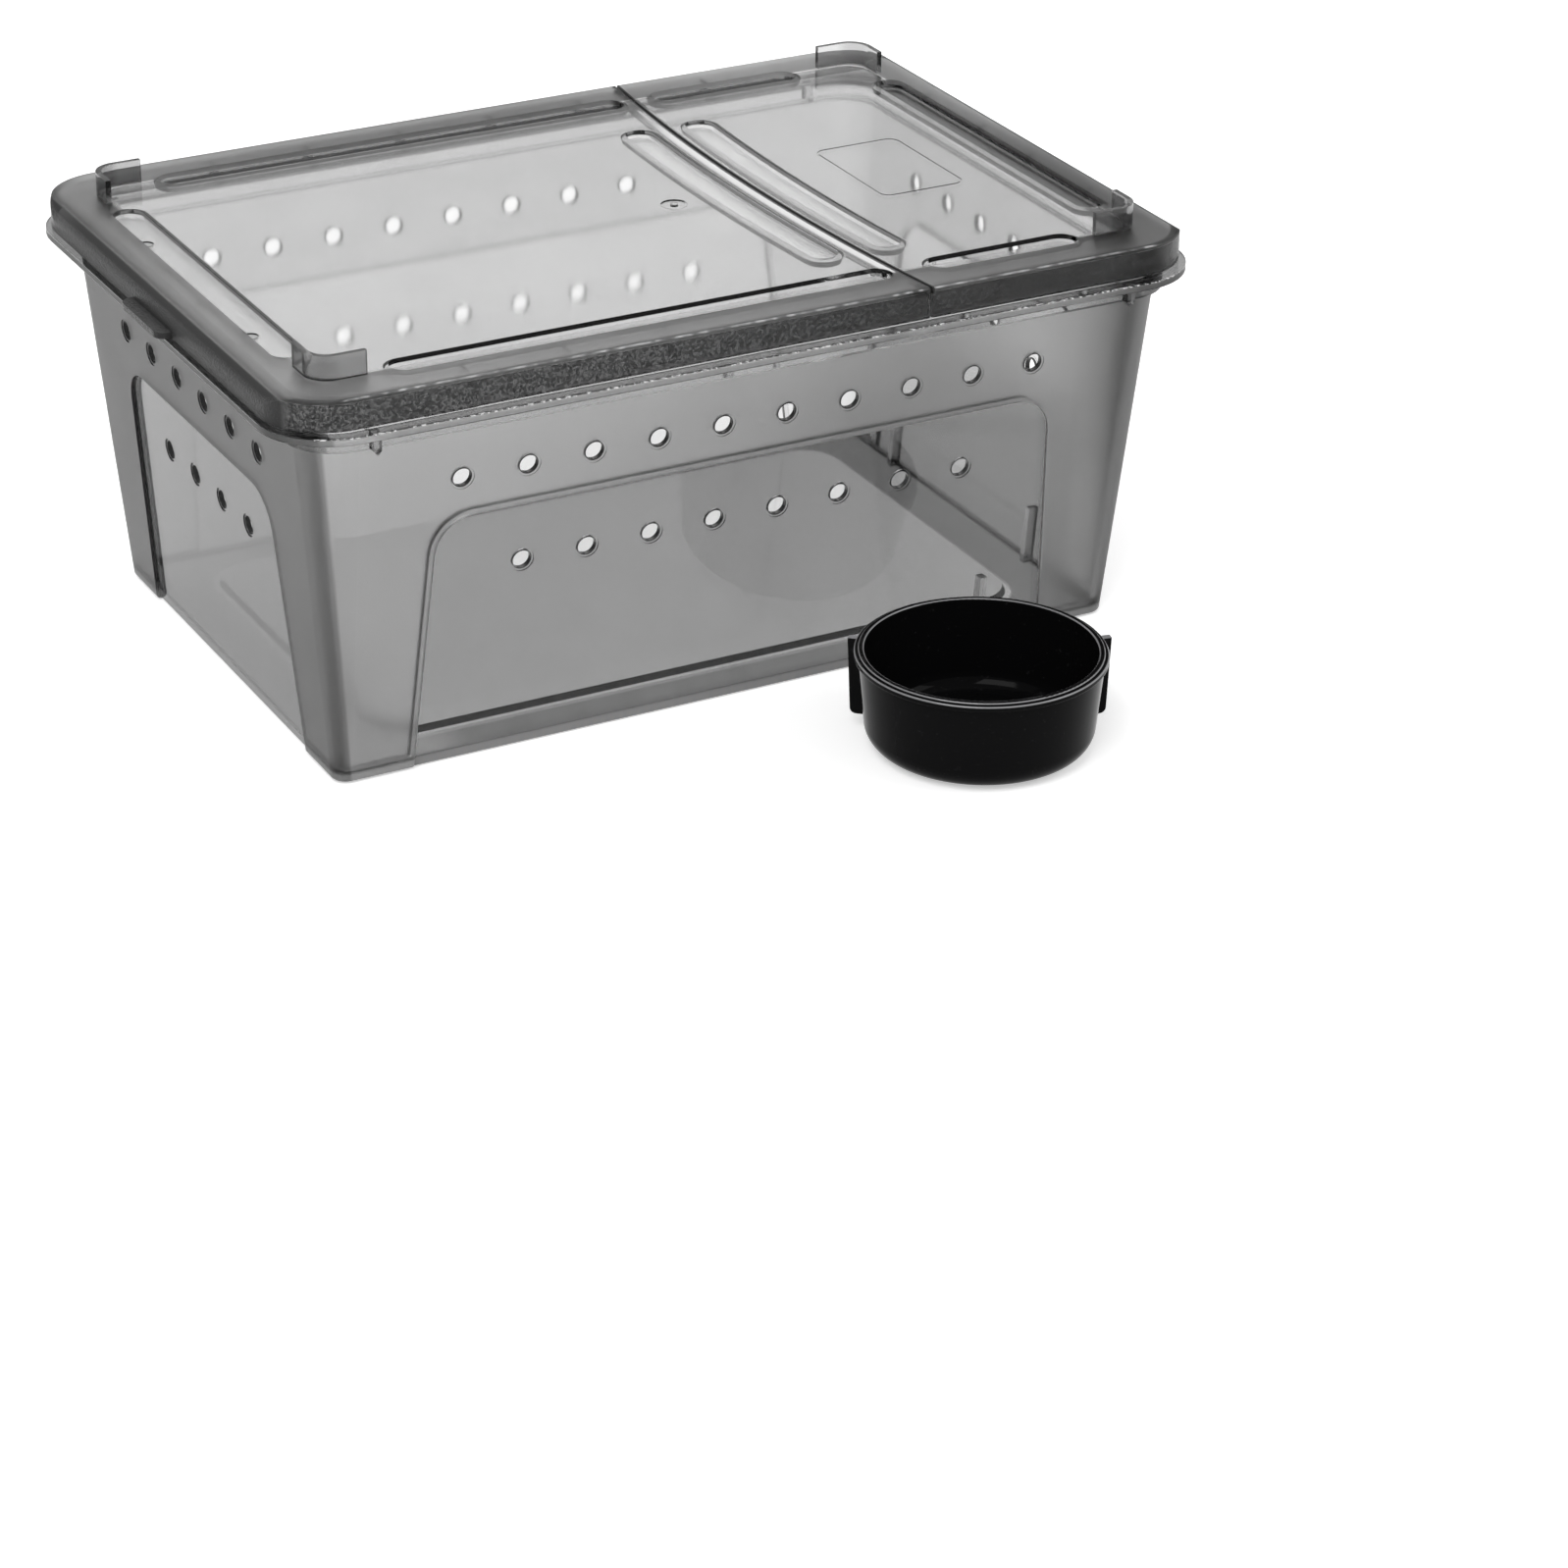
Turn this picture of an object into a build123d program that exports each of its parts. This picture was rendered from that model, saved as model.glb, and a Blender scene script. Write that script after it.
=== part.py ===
from build123d import *
from math import asin, cos, degrees, radians, sin
import os

# Ventilated plastic terrarium: a tapered tub, a lid in two sections and a loose food bowl.
# Millimetres. The origin is the middle of the tub's underside, +X to the feeding hatch,
# -Y to the front, +Z up.

# Tub wall
foot_x = 137.5  # half length of the foot
foot_y = 88.0  # half width of the foot
lean_x = 0.089  # outward lean of the short walls, per mm of height
lean_y = 0.128  # outward lean of the long walls, per mm of height
foot_corner = 5.0  # the wall's corners open out like cones
shoulder_corner = 15.0
inner_shoulder_corner = 13.0
core_corner = 10.0
foot_round = 1.6  # rounding of the foot's bottom edge
wall = 2.0
floor = 2.5
floor_fillet = 4.0
shoulder_z = 117.5  # where the leaning wall ends

# Tub rim
neck_x = 150.8
neck_y = 105.4
neck_corner = 17.0
flange_x = 158.8
flange_y = 111.3
flange_corner = 24.0
flange_under_z = 122.4
flange_thick = 2.2
upstand_x = 152.0
upstand_y = 105.0
upstand_corner = 18.0
upstand_wall = 2.2
upstand_top_z = 133.2
gusset_x = 129.5
gusset_wide = 2.6
gusset_reach = 3.4  # how far the gussets stand out from the neck
gusset_drop = 4.4  # down to the start of the gusset's pointed end
gusset_point = 1.4

# Clear panels, one in each wall, open at the foot
panel_recess = 1.8
panel_top_z = 87.0
panel_corner = 13.0
long_panel_top = 106.5
long_panel_foot = 112.5
short_panel_top = 58.5
short_panel_foot = 64.0
boss_margin = 1.2  # how much the inner side of a panel is larger than the outer side
arch_low_z = -10.0  # the cutting forms start below the foot
core_low_z = -12.0

# Vent holes
hole_pitch = 22.0
hole_radius = 3.0
hole_depth = 6.0
dimple_radius = 3.9
dimple_depth = 0.4
upper_row_z = 100.3
lower_row_z = 66.3
long_upper_count = 10
long_lower_count = 8
short_upper_count = 6
short_lower_count = 4

# Floor and the guide ribs at the hatch end
pad_x = 116.0
pad_y = 70.0
pad_corner = 14.0
pad_rise = 2.0
pad_draft = 30.0
rib_top_z = 22.0
rib_thick = 2.4
rib_reach = 3.4
rib_bite = 1.0  # how far the ribs reach into the wall
short_wall_rib_y = 45.5
long_wall_rib_x = 91.0

# Lid
lid_top_z = 135.7
lid_plate = 2.2
skirt_bottom_z = 125.6
skirt_x = 157.5
skirt_y = 107.6
skirt_corner = 22.0
skirt_thick_x = 2.2
skirt_thick_y = 1.9
short_side_round = 7.0
hollow_round = 2.0  # the same rounding on the lid's inner side
long_side_round = 0.8
seam_x = 49.8  # where the seam comes nearest to the middle of the lid
seam_y = 10.0
seam_radius = 904.0
seam_gap = 1.0
seam_rib_thick = 1.8
seam_rib_drop = 2.8
seam_rib_half = 101.5

# Lid grooves, each a rounded trough
groove_depth = 2.4
groove_width = 10.0
groove_wall = 1.8
groove_draft = 16.0
groove_y = 90.0
front_groove_ends = ((-117.0, 53.0), (66.5, 119.5))  # main section, then hatch
back_groove_ends = ((-119.5, 49.0), (60.5, 115.5))
short_groove_x = 139.8
short_groove_half = 70.0
seam_groove_offset = 11.2
seam_groove_ends = (-71.0, 63.0)
drain_x = 142.3  # two small holes through the left groove
drain_y = 43.5
drain_radius = 2.4

# Webs under the lid that centre it inside the upstand
web_thick = 1.2
web_drop = 3.1
web_clearance = 0.6  # to the upstand's inner side
long_web_x = (-97.0, -63.5, -30.0, 3.5, 37.0, 85.0)
short_web_y = (-52.5, -16.0, 16.0, 52.5)

# Small lid features
tab_x = 142.7
tab_y = 92.8
tab_corner = 8.0
tab_wall = 1.8
tab_rise = 7.8
tab_end_x = 125.3
tab_end_y = 77.0
lip_half = 16.5
lip_reach = 4.6
lip_thick = 2.0
catch_x = -105.5  # grip pads low on the long skirts
catch_long = 17.0
catch_high = 4.4
catch_rise = 0.35
label_x = 98.9
label_y = -6.6
label_wide = 30.8
label_long = 48.3
label_corner = 4.0
label_line = 0.6
label_deep = 0.3
gate_x = 20.0
gate_y = -6.0
gate_radius = 4.4
gate_deep = 0.6
nub_radius = 1.3  # left by the moulding, in the middle of the mark
nub_rise = 0.3
bite = 0.5  # how far an added form reaches into what carries it

# Food bowl, standing in front of the tub
bowl_x = 52.9
bowl_y = -151.0
bowl_turn = -27.0
bowl_high = 32.0
bowl_foot_radius = 35.6
bowl_wall_radius = 38.4
bowl_lip_radius = 39.6
bowl_lip_high = 2.6
bowl_step_radius = 38.3  # inside it the rim stands a little higher
bowl_step = 0.7
bowl_rim_round = 0.5
bowl_wall = 2.0
bowl_floor = 2.2
bowl_edge_round = 8.0
fin_reach = 42.3
fin_thick = 2.2
fin_low = 5.0
fin_high = 31.0
fin_round = 2.0  # rounding of the fins' lower corners
fin_taper = 1.1  # how much less the fins reach at the bottom
fin_back = 15.0  # how far the fins sit behind the bowl's diameter, in degrees

# Worked out from the above
flange_top_z = flange_under_z + flange_thick
lid_under_z = lid_top_z - lid_plate
seam_centre_x = seam_x + seam_radius
groove_floor_z = lid_top_z - groove_depth
groove_under_z = groove_floor_z - groove_wall
far = 400.0  # longer than anything here

os.makedirs("parts", exist_ok=True)


def half_x(z):
    """Half length of the leaning wall's outside at height z."""
    return foot_x + lean_x * z


def half_y(z):
    """Half width of the leaning wall's outside at height z."""
    return foot_y + lean_y * z


def leaning_body(low, high, inset, low_corner, high_corner):
    """Solid bounded by the leaning wall, moved in by inset, between two heights."""
    with BuildPart() as body:
        for z, corner in ((low, low_corner), (high, high_corner)):
            with BuildSketch(Plane.XY.offset(z)):
                RectangleRounded(2 * (half_x(z) - inset), 2 * (half_y(z) - inset), corner)
        loft(ruled=True)
    return body


def panel_arch(plane, top_half, foot_half, grow):
    """A panel's outline, open at the foot, run right through the tub."""
    with BuildPart() as arch:
        with BuildSketch(plane) as outline:
            with BuildLine():
                Polyline(
                    (-foot_half - grow, arch_low_z),
                    (-top_half - grow, panel_top_z + grow),
                    (top_half + grow, panel_top_z + grow),
                    (foot_half + grow, arch_low_z),
                    close=True,
                )
            make_face()
            fillet(outline.vertices().group_by(Axis.Y)[-1], panel_corner + grow)
        extrude(amount=far, both=True)
    return arch


# Tub: wall, floor, rim
inner_recess = wall + panel_recess
outer_body = leaning_body(0.0, shoulder_z, 0.0, foot_corner, shoulder_corner)
inner_body = leaning_body(floor, shoulder_z + wall, wall, foot_corner, inner_shoulder_corner)
outer_core = leaning_body(core_low_z, shoulder_z, panel_recess, core_corner, core_corner)
inner_core = leaning_body(core_low_z, shoulder_z, inner_recess, core_corner, core_corner)

with BuildPart() as cavity:
    add(inner_body.part)
    fillet(cavity.faces().sort_by(Axis.Z)[0].edges(), floor_fillet)
    with BuildSketch(Plane.XY.offset(shoulder_z + wall)):
        RectangleRounded(
            2 * (upstand_x - upstand_wall),
            2 * (upstand_y - upstand_wall),
            upstand_corner - upstand_wall,
        )
    extrude(amount=far)

# Panels: a pocket cut outside each wall, and the wall built up by as much inside
pockets = []
bosses = []
for plane, top_half, foot_half in (
    (Plane.XZ, long_panel_top, long_panel_foot),
    (Plane.YZ, short_panel_top, short_panel_foot),
):
    outer_arch = panel_arch(plane, top_half, foot_half, 0.0)
    inner_arch = panel_arch(plane, top_half, foot_half, boss_margin)
    with BuildPart() as pocket:
        add(outer_arch.part)
        add(outer_core.part, mode=Mode.SUBTRACT)
    with BuildPart() as boss:
        add(inner_arch.part)
        add(cavity.part, mode=Mode.INTERSECT)
        add(inner_core.part, mode=Mode.SUBTRACT)
    pockets.append(pocket.part)
    bosses.append(boss.part)

with BuildPart() as tub:
    add(outer_body.part)
    fillet(tub.faces().sort_by(Axis.Z)[0].edges(), foot_round)

    # Neck, flange and upstand
    with BuildSketch(Plane.XY.offset(shoulder_z)):
        RectangleRounded(2 * neck_x, 2 * neck_y, neck_corner)
    extrude(amount=flange_under_z - shoulder_z)
    with BuildSketch(Plane.XY.offset(flange_under_z)):
        RectangleRounded(2 * flange_x, 2 * flange_y, flange_corner)
    extrude(amount=flange_thick)
    with BuildSketch(Plane.XY.offset(flange_top_z)):
        RectangleRounded(2 * upstand_x, 2 * upstand_y, upstand_corner)
    extrude(amount=upstand_top_z - flange_top_z)
    add(cavity.part, mode=Mode.SUBTRACT)

    # Recessed clear panels
    add(pockets, mode=Mode.SUBTRACT)
    add(bosses)

    # Raised pad in the floor
    with BuildSketch(Plane.XY.offset(floor - bite)):
        RectangleRounded(2 * pad_x, 2 * pad_y, pad_corner)
    extrude(amount=pad_rise + bite, taper=pad_draft)

    # Guide ribs standing on the floor at the hatch end
    for side in (-1, 1):
        rib_wall_x = half_x(0.0) - inner_recess
        with BuildSketch(Plane.XZ.offset(-side * short_wall_rib_y)):
            with BuildLine():
                Polyline(
                    (rib_wall_x - rib_reach, floor - bite),
                    (rib_wall_x + rib_bite, floor - bite),
                    (rib_wall_x + lean_x * rib_top_z + rib_bite, rib_top_z),
                    (rib_wall_x + lean_x * rib_top_z - rib_reach, rib_top_z),
                    close=True,
                )
            make_face()
        extrude(amount=rib_thick / 2, both=True)
        rib_wall_y = half_y(0.0) - inner_recess
        with BuildSketch(Plane.YZ.offset(long_wall_rib_x)):
            with BuildLine():
                Polyline(
                    (side * (rib_wall_y - rib_reach), floor - bite),
                    (side * (rib_wall_y + rib_bite), floor - bite),
                    (side * (rib_wall_y + lean_y * rib_top_z + rib_bite), rib_top_z),
                    (side * (rib_wall_y + lean_y * rib_top_z - rib_reach), rib_top_z),
                    close=True,
                )
            make_face()
        extrude(amount=rib_thick / 2, both=True)

    # Small pointed gussets under the flange
    gusset_end_z = flange_under_z - gusset_drop
    for side in (-1, 1):
        with BuildSketch(Plane.XZ.offset(side * (neck_y - bite))):
            for x in (-gusset_x, gusset_x):
                with BuildLine():
                    Polyline(
                        (x - gusset_wide / 2, flange_under_z + bite),
                        (x - gusset_wide / 2, gusset_end_z),
                        (x, gusset_end_z - gusset_point),
                        (x + gusset_wide / 2, gusset_end_z),
                        (x + gusset_wide / 2, flange_under_z + bite),
                        close=True,
                    )
                make_face()
        extrude(amount=side * (gusset_reach + bite))

    # Vent holes: two rows in every wall, each hole with a shallow dimple round it
    for side in (-1, 1):
        for row_z, recess, long_count, short_count in (
            (upper_row_z, 0.0, long_upper_count, short_upper_count),
            (lower_row_z, panel_recess, long_lower_count, short_lower_count),
        ):
            long_face = Plane(
                origin=(0, side * (half_y(row_z) - recess), row_z),
                x_dir=(1, 0, 0),
                z_dir=(0, side, -lean_y),
            )
            short_face = Plane(
                origin=(side * (half_x(row_z) - recess), 0, row_z),
                x_dir=(0, 1, 0),
                z_dir=(side, 0, -lean_x),
            )
            for face, count in ((long_face, long_count), (short_face, short_count)):
                for radius, depth in ((hole_radius, hole_depth), (dimple_radius, dimple_depth)):
                    with BuildSketch(face):
                        with GridLocations(hole_pitch, hole_pitch, count, 1):
                            Circle(radius)
                    extrude(amount=depth, both=True, mode=Mode.SUBTRACT)

tub.part.label = "tub"
export_step(tub.part, "parts/tub.step")


def lid_block(half_long, half_wide, corner, low, top, side_round, edge_round):
    """Block with softly rounded short sides and nearly sharp long sides."""
    with BuildPart() as block:
        with BuildSketch(Plane.XY.offset(low)):
            RectangleRounded(2 * half_long, 2 * half_wide, corner)
        extrude(amount=top - low)
        if edge_round > 0:
            fillet(block.faces().sort_by(Axis.Z)[-1].edges(), edge_round)
        with BuildSketch(Plane.XZ) as profile:
            with BuildLine():
                Polyline(
                    (-half_long, low),
                    (-half_long, top),
                    (half_long, top),
                    (half_long, low),
                    close=True,
                )
            make_face()
            fillet(profile.vertices().group_by(Axis.Y)[-1], side_round)
        extrude(amount=far, both=True, mode=Mode.INTERSECT)
    return block


def groove_slots(widen):
    """Outlines of the eight grooves in the lid, each widened by the same amount."""
    across = groove_width + 2 * widen
    with BuildSketch(Plane.XY) as slots:
        for y, ends in ((-groove_y, front_groove_ends), (groove_y, back_groove_ends)):
            for low, high in ends:
                with Locations(((low + high) / 2, y)):
                    SlotOverall(high - low + 2 * widen, across)
        with Locations((short_groove_x, 0), (-short_groove_x, 0)):
            SlotOverall(2 * (short_groove_half + widen), across, rotation=90)
        for offset in (-seam_groove_offset, seam_groove_offset):
            radius = seam_radius + offset
            back_turn = degrees(asin((seam_groove_ends[1] - groove_width / 2 - seam_y) / radius))
            front_turn = degrees(asin((seam_y - seam_groove_ends[0] - groove_width / 2) / radius))
            with BuildLine(mode=Mode.PRIVATE) as middle:
                CenterArc((seam_centre_x, seam_y), radius, 180 - back_turn, back_turn + front_turn)
            SlotArc(middle.line.edges()[0], across)
    return slots


# Lid: one blank for both sections
blank_outside = lid_block(
    skirt_x, skirt_y, skirt_corner, skirt_bottom_z, lid_top_z, short_side_round, long_side_round
)
blank_inside = lid_block(
    skirt_x - skirt_thick_x,
    skirt_y - skirt_thick_y,
    skirt_corner - skirt_thick_x,
    skirt_bottom_z - bite,
    lid_under_z,
    hollow_round,
    0.0,
)
groove_outside = groove_slots(groove_wall)
groove_inside = groove_slots(0.0)

with BuildPart() as lid_blank:
    add(blank_outside.part)
    add(blank_inside.part, mode=Mode.SUBTRACT)

    # Grooves
    with BuildSketch(Plane.XY.offset(lid_under_z + bite)):
        add(groove_outside.sketch)
    extrude(amount=groove_under_z - lid_under_z - bite, taper=groove_draft)
    with BuildSketch(Plane.XY.offset(lid_top_z)):
        add(groove_inside.sketch)
    extrude(amount=-groove_depth, taper=groove_draft, mode=Mode.SUBTRACT)
    with BuildSketch(Plane.XY.offset(lid_top_z)):
        with Locations((-drain_x, drain_y), (-drain_x, -drain_y)):
            Circle(drain_radius)
    extrude(amount=-2 * groove_depth, mode=Mode.SUBTRACT)

    # Webs from the grooves out to the upstand
    with BuildSketch(Plane.XY.offset(lid_under_z + bite)):
        for side in (-1, 1):
            web_low = groove_y + groove_width / 2
            web_high = upstand_y - upstand_wall - web_clearance
            for x in long_web_x:
                with Locations((x, side * (web_low + web_high) / 2)):
                    Rectangle(web_thick, web_high - web_low)
            web_low = short_groove_x + groove_width / 2
            web_high = upstand_x - upstand_wall - web_clearance
            for y in short_web_y:
                with Locations((side * (web_low + web_high) / 2, y)):
                    Rectangle(web_high - web_low, web_thick)
    extrude(amount=-web_drop - bite)

    # Corner tabs that hold the next box
    with BuildSketch(Plane.XY.offset(lid_top_z - bite)):
        RectangleRounded(2 * tab_x, 2 * tab_y, tab_corner)
        RectangleRounded(
            2 * (tab_x - tab_wall),
            2 * (tab_y - tab_wall),
            tab_corner - tab_wall,
            mode=Mode.SUBTRACT,
        )
        Rectangle(2 * tab_end_x, far, mode=Mode.SUBTRACT)
        Rectangle(far, 2 * tab_end_y, mode=Mode.SUBTRACT)
    extrude(amount=tab_rise + bite)

    # Finger lips at the foot of the short skirts
    with BuildSketch(Plane.XY.offset(skirt_bottom_z)):
        with Locations((skirt_x, 0), (-skirt_x, 0)):
            RectangleRounded(2 * lip_reach, 2 * lip_half, lip_reach - bite)
        Rectangle(2 * (skirt_x - bite), far, mode=Mode.SUBTRACT)
    extrude(amount=lip_thick)

    # Low grip pads on the long skirts
    with BuildSketch(Plane.XY.offset(skirt_bottom_z)):
        with Locations((catch_x, skirt_y), (catch_x, -skirt_y)):
            Rectangle(catch_long, 2 * catch_rise)
    extrude(amount=catch_high)

    # Outline for a label on the hatch, and the moulding mark on the main section
    with BuildSketch(Plane.XY.offset(lid_top_z)):
        with Locations((label_x, label_y)):
            RectangleRounded(label_wide, label_long, label_corner)
            RectangleRounded(
                label_wide - 2 * label_line,
                label_long - 2 * label_line,
                label_corner - label_line,
                mode=Mode.SUBTRACT,
            )
    extrude(amount=-label_deep, mode=Mode.SUBTRACT)
    with BuildSketch(Plane.XY.offset(lid_top_z)):
        with Locations((gate_x, gate_y)):
            Circle(gate_radius)
            Circle(nub_radius, mode=Mode.SUBTRACT)
    extrude(amount=-gate_deep, mode=Mode.SUBTRACT)
    with BuildSketch(Plane.XY.offset(lid_top_z - gate_deep)):
        with Locations((gate_x, gate_y)):
            Circle(nub_radius)
    extrude(amount=gate_deep + nub_rise)


def seam_disc(radius):
    """Tall disc about the seam's centre, used to part the two sections."""
    with BuildPart() as disc:
        with BuildSketch(Plane.XY):
            with Locations((seam_centre_x, seam_y)):
                Circle(radius)
        extrude(amount=far)
    return disc


def seam_rib(low_radius, high_radius):
    """Stiffening rib under the plate, following the seam."""
    with BuildPart() as rib:
        with BuildSketch(Plane.XY.offset(lid_under_z - seam_rib_drop)):
            with Locations((seam_centre_x, seam_y)):
                Circle(high_radius)
                Circle(low_radius, mode=Mode.SUBTRACT)
            Rectangle(2 * (seam_x + short_groove_half), 2 * seam_rib_half, mode=Mode.INTERSECT)
        extrude(amount=seam_rib_drop + bite)
    return rib


main_edge_radius = seam_radius + seam_gap / 2
hatch_edge_radius = seam_radius - seam_gap / 2
main_disc = seam_disc(main_edge_radius)
hatch_disc = seam_disc(hatch_edge_radius)
main_rib = seam_rib(main_edge_radius, main_edge_radius + seam_rib_thick)
hatch_rib = seam_rib(hatch_edge_radius - seam_rib_thick, hatch_edge_radius)

with BuildPart() as main_lid:
    add(lid_blank.part)
    add(main_disc.part, mode=Mode.SUBTRACT)
    add(main_rib.part)

main_lid.part.label = "main_lid"
export_step(main_lid.part, "parts/main_lid.step")

with BuildPart() as feeding_hatch:
    add(lid_blank.part)
    add(hatch_disc.part, mode=Mode.INTERSECT)
    add(hatch_rib.part)

feeding_hatch.part.label = "feeding_hatch"
export_step(feeding_hatch.part, "parts/feeding_hatch.step")

# Food bowl
bowl_wall_top_z = bowl_high - bowl_lip_high
bowl_front = Plane(origin=(bowl_x, bowl_y, 0), x_dir=(1, 0, 0), z_dir=(0, -1, 0))

with BuildPart() as feeding_bowl:
    with BuildSketch(bowl_front) as bowl_profile:
        with BuildLine():
            Polyline(
                (0, 0),
                (bowl_foot_radius, 0),
                (bowl_wall_radius, bowl_wall_top_z),
                (bowl_lip_radius, bowl_wall_top_z),
                (bowl_lip_radius, bowl_high - bowl_step),
                (bowl_step_radius, bowl_high - bowl_step),
                (bowl_step_radius, bowl_high),
                (bowl_wall_radius - bowl_wall, bowl_high),
                (bowl_foot_radius - bowl_wall, bowl_floor),
                (0, bowl_floor),
                close=True,
            )
        make_face()
        foot_corner_point = bowl_profile.vertices().sort_by_distance((bowl_foot_radius, 0))[0]
        fillet(foot_corner_point, bowl_edge_round)
        floor_corner_point = bowl_profile.vertices().sort_by_distance(
            (bowl_foot_radius - bowl_wall, bowl_floor)
        )[0]
        fillet(floor_corner_point, bowl_edge_round - bowl_wall)
        for corner in (
            (bowl_lip_radius, bowl_wall_top_z),
            (bowl_lip_radius, bowl_high - bowl_step),
            (bowl_step_radius, bowl_high),
            (bowl_wall_radius - bowl_wall, bowl_high),
        ):
            fillet(bowl_profile.vertices().sort_by_distance(corner)[0], bowl_rim_round)
    revolve(axis=Axis((bowl_x, bowl_y, 0), (0, 0, 1)))

    # Two fins for lifting it and for the guide ribs in the tub
    for angle in (bowl_turn + fin_back, bowl_turn + 180 - fin_back):
        fin_plane = Plane(
            origin=(bowl_x, bowl_y, 0),
            x_dir=(cos(radians(angle)), sin(radians(angle)), 0),
            z_dir=(sin(radians(angle)), -cos(radians(angle)), 0),
        )
        with BuildSketch(fin_plane) as fin:
            with BuildLine():
                Polyline(
                    (bowl_foot_radius - bite, fin_low),
                    (fin_reach - fin_taper, fin_low),
                    (fin_reach, fin_high),
                    (bowl_wall_radius - bite, fin_high),
                    close=True,
                )
            make_face()
            fin_corner_point = fin.vertices().sort_by_distance((fin_reach - fin_taper, fin_low))[0]
            fillet(fin_corner_point, fin_round)
        extrude(amount=fin_thick / 2, both=True)

feeding_bowl.part.label = "feeding_bowl"
export_step(feeding_bowl.part, "parts/feeding_bowl.step")
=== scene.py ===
from math import cos, radians, sin

import bmesh
import bpy
from bpy.props import FloatProperty, FloatVectorProperty, PointerProperty
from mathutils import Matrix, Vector

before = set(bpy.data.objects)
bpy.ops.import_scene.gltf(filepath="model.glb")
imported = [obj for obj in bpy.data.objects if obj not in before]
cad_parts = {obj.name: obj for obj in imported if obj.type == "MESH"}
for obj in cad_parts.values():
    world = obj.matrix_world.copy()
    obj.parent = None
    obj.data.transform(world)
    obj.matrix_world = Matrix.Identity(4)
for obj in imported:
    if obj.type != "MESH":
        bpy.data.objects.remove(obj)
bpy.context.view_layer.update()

bl_info = {
    "name": "Ventilated terrarium",
    "version": (1, 0, 0),
    "blender": (4, 5, 0),
    "location": "3D View > Sidebar > Terrarium",
    "description": "Dresses a smoke-tinted terrarium with a split lid and a black food bowl",
    "category": "Add Mesh",
}

MM = 0.001

# Tub: half length, half width and corner radius of its outlines, then heights
FOOT_X, FOOT_Y, FOOT_CORNER = 137.5 * MM, 88.0 * MM, 5.0 * MM
LEAN_X, LEAN_Y = 0.089, 0.128  # how far the walls lean outwards, per metre of height
CORNER_LEAN = 10.0 / 117.5  # how much the corner radius grows, per metre of height
PAD = (117.5 * MM, 71.5 * MM, 15.0 * MM)
FLANGE = (158.8 * MM, 111.3 * MM, 24.0 * MM)
FLOOR_Z = 4.95 * MM
PANEL_TOP_Z = 87.0 * MM
SHOULDER_Z = 117.4 * MM
UPSTAND_Z = 125.1 * MM
FLANGE_UNDER_Z, FLANGE_TOP_Z = 122.65 * MM, 124.25 * MM
FRONT_Y = -80.0 * MM
SHORT_PANEL_HALF = 63.5 * MM
PANEL_RECESS = 1.8 * MM

# Vent holes
HOLE_PITCH = 22.0 * MM
HOLE_REACH = 3.25 * MM  # a little over the radius, for a painted dark edge
UPPER_ROW_Z, LOWER_ROW_Z = 100.3 * MM, 66.3 * MM
LONG_ROWS = (110.0 * MM, 88.0 * MM)  # how far the upper and lower row reach from the middle
SHORT_ROWS = (66.0 * MM, 44.0 * MM)

# Lid: outlines, then heights
GROOVE_LINE = (140.5 * MM, 91.0 * MM, 9.0 * MM)
RIM = (157.5 * MM, 107.6 * MM, 22.0 * MM)
PLATE_Z = 134.1 * MM  # between the plate's upper and lower face
SKIRT_TOP_Z = 134.4 * MM
TAB_Z = 136.1 * MM
TROUGH_Z = 135.525 * MM
TROUGH_FLOOR_Z = 133.42 * MM
SHORT_GROOVE_X = 139.8 * MM
SHORT_GROOVE = (7.1 * MM, 72.1 * MM, 7.1 * MM)
LONG_GROOVE_Y = 90.0 * MM
SEAM_X, SEAM_Y, SEAM_RADIUS = 953.8 * MM, 10.0 * MM, 904.0 * MM
SEAM_GROOVE_OFFSET = 11.2 * MM
SEAM_GROOVE_MIDDLE = -4.0 * MM
SEAM_GROOVE = (7.1 * MM, 69.1 * MM, 7.1 * MM)
SEAM_REACH = 1.025 * MM  # a little more than half the gap, for a painted dark line
END_SKIRT_X = 154.0 * MM
FAR_EDGE = -3.2 * MM  # from a groove's middle to its far edge
DRAIN_X, DRAIN_Y, DRAIN_REACH = 142.3 * MM, 43.5 * MM, 2.45 * MM

# Bowl
BOWL_X, BOWL_Y = 52.9 * MM, -151.0 * MM
BOWL_OUTER_EDGES = ((38.0 * MM, 31.6 * MM), (39.2 * MM, 30.9 * MM))  # radius, height
BOWL_INNER_EDGE = (36.8 * MM, 31.7 * MM)
BOWL_IOR = 1.5
BOWL_GRAIN_HEIGHT = 0.03 * MM

# Noises: scale, detail and roughness
BLOTCHES = (35.0, 3.0)
GRAIN = (2600.0, 2.0, 0.6)
PEBBLES = (1100.0, 3.0, 0.7)
SPARKLES = (700.0, 3.0, 0.7)
GLINT_NOISE = (260.0, 2.0)
BOWL_BLOTCHES = (60.0, 3.0)
BOWL_GRAIN = (900.0, 2.0)
BOWL_SCUFFS = (420.0, 4.0, 0.75)

# Plastic
PLASTIC_IOR = 1.49
DULL_IOR = 1.2  # where the surface hardly mirrors the room
COARSE_ROUGHNESS = 0.20
GRAIN_HEIGHT = 0.06 * MM
PEBBLE_HEIGHT = 0.35 * MM

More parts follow.
